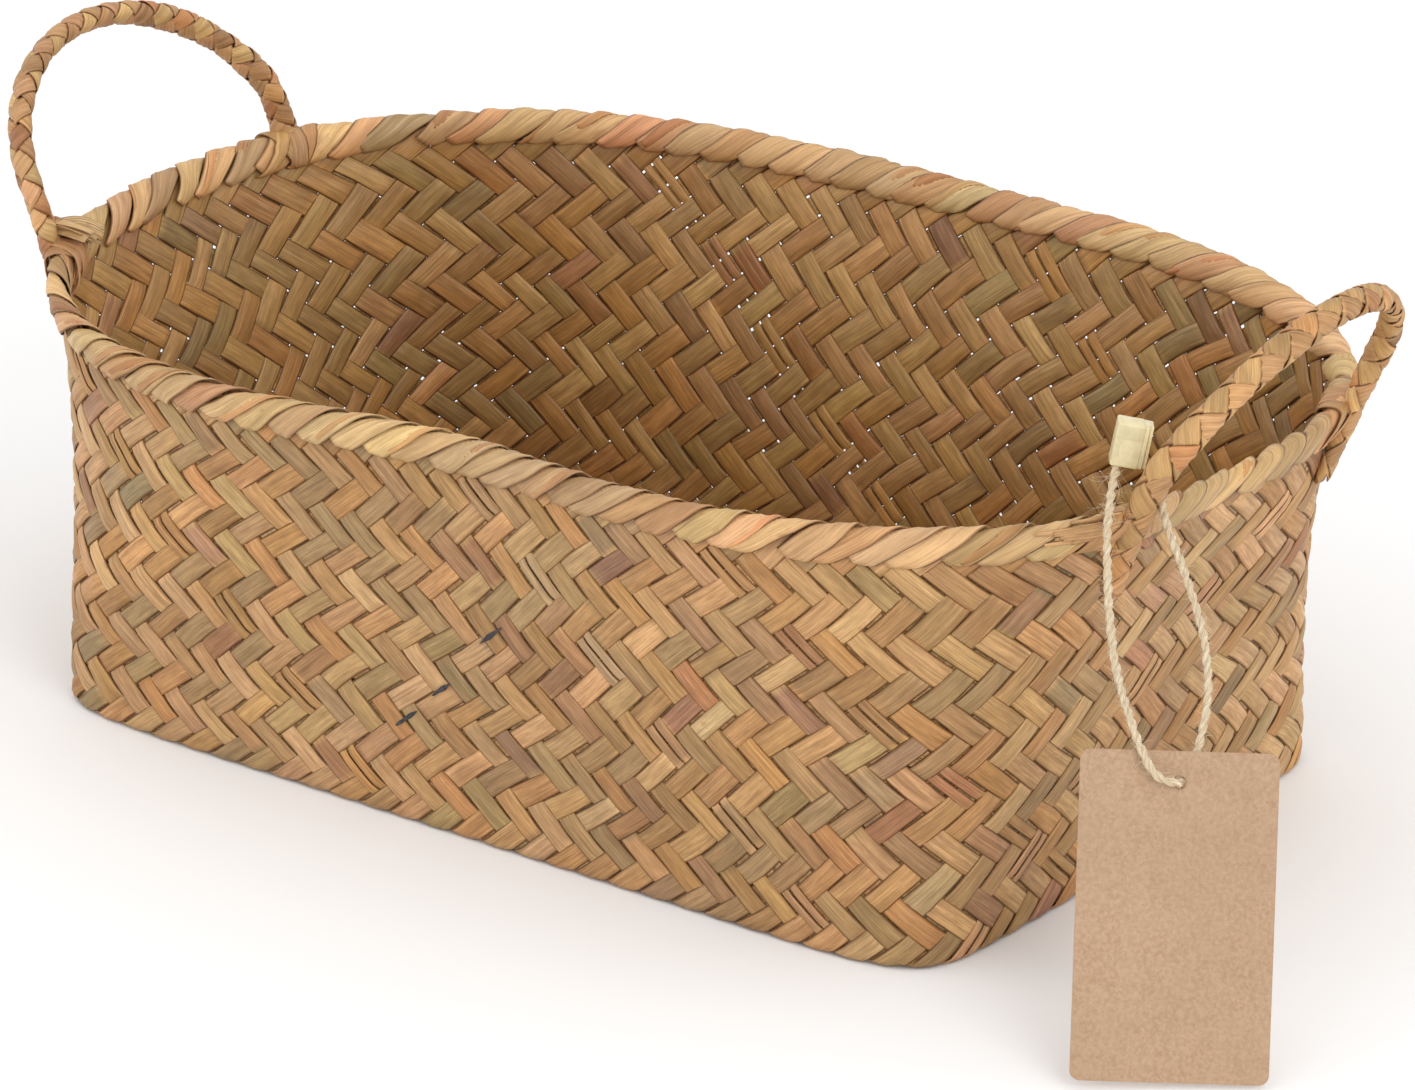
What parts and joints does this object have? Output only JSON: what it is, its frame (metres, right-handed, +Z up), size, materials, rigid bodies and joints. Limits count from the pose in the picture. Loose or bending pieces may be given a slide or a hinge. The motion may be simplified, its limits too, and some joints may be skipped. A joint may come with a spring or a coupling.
{
  "type": "bread basket",
  "caption": "Woven straw bread basket with a rectangular base, flared oval rim, braided loop handles at both ends and a blank card tag on a string.",
  "frame": {"origin": "middle of the basket's own box in X and Y, at the underside of the base; the hang tag, its string and seal are not counted", "axes": "+X along the basket towards the end with the tag, +Y to the back, +Z up"},
  "size_m": [0.4592, 0.2396, 0.1661],
  "materials": {
    "straw": "matte",
    "rim_straw": "matte",
    "braid_straw": "matte",
    "kraft_card": "matte",
    "jute": "matte",
    "cream_plastic": "satin"
  },
  "bodies": {
    "basket": {"base_mat": "straw", "wall_front": "straw", "wall_back": "straw", "wall_left": "straw", "wall_right": "straw", "rim_front": "rim_straw", "rim_back": "rim_straw", "rim_left": "rim_straw", "rim_right": "rim_straw", "lashing_right_front": "braid_straw", "lashing_right_back": "braid_straw", "lashing_left_front": "braid_straw", "lashing_left_back": "braid_straw", "braid_end_right_front": "braid_straw", "braid_end_right_back": "braid_straw", "braid_end_left_front": "braid_straw", "braid_end_left_back": "braid_straw", "tag_string_upper": "jute", "seal_body": "cream_plastic", "seal_insert": "cream_plastic"},
    "right_handle": {"handle_loop_right": "braid_straw"},
    "left_handle": {"handle_loop_left": "braid_straw"},
    "tag": {"tag_card": "kraft_card", "tag_string_loop": "jute"}
  },
  "joints": [
    {"name": "right_handle_flex", "type": "hinge", "parent": "basket", "child": "right_handle", "pos_m": [0.17968, -0.05024, 0.1253], "axis": [-0.0287, 0.9995, -0.0134], "range_deg": [-20, 20], "stiffness_Nm_per_rad": 0.06},
    {"name": "left_handle_flex", "type": "hinge", "parent": "basket", "child": "left_handle", "pos_m": [-0.17492, -0.06464, 0.1219], "axis": [0.019, -0.9998, -0.0076], "range_deg": [-20, 20], "stiffness_Nm_per_rad": 0.06},
    {"name": "tag_swing", "type": "hinge", "parent": "basket", "child": "tag", "pos_m": [0.17883, -0.06339, 0.11755], "axis": [-0.0199, -0.9811, -0.1927], "range_deg": [0, 35]}
  ]
}
